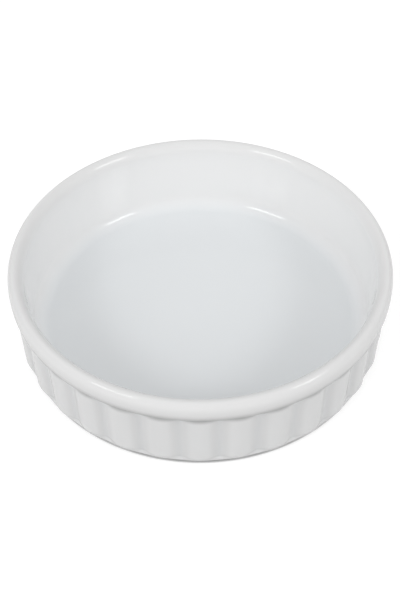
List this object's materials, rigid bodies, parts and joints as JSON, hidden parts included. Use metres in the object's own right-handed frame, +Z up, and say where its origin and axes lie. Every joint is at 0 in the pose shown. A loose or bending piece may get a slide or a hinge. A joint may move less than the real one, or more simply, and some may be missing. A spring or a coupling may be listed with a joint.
{
  "type": "creme brulee dish",
  "caption": "Shallow round porcelain baking dish with a flat floor, rolled rim, fluted outer wall and a foot ring to stand on.",
  "frame": {"origin": "centre of the foot ring's face, on the surface that the dish stands on", "axes": "+Z up along the dish's axis; +X through the crest of one flute, -Y towards the picture's camera"},
  "size_m": [0.12, 0.12, 0.03],
  "materials": {
    "glazed_porcelain": "white porcelain under a clear, faintly blue gloss glaze"
  },
  "bodies": {
    "root": {"dish": "glazed_porcelain"}
  },
  "joints": []
}
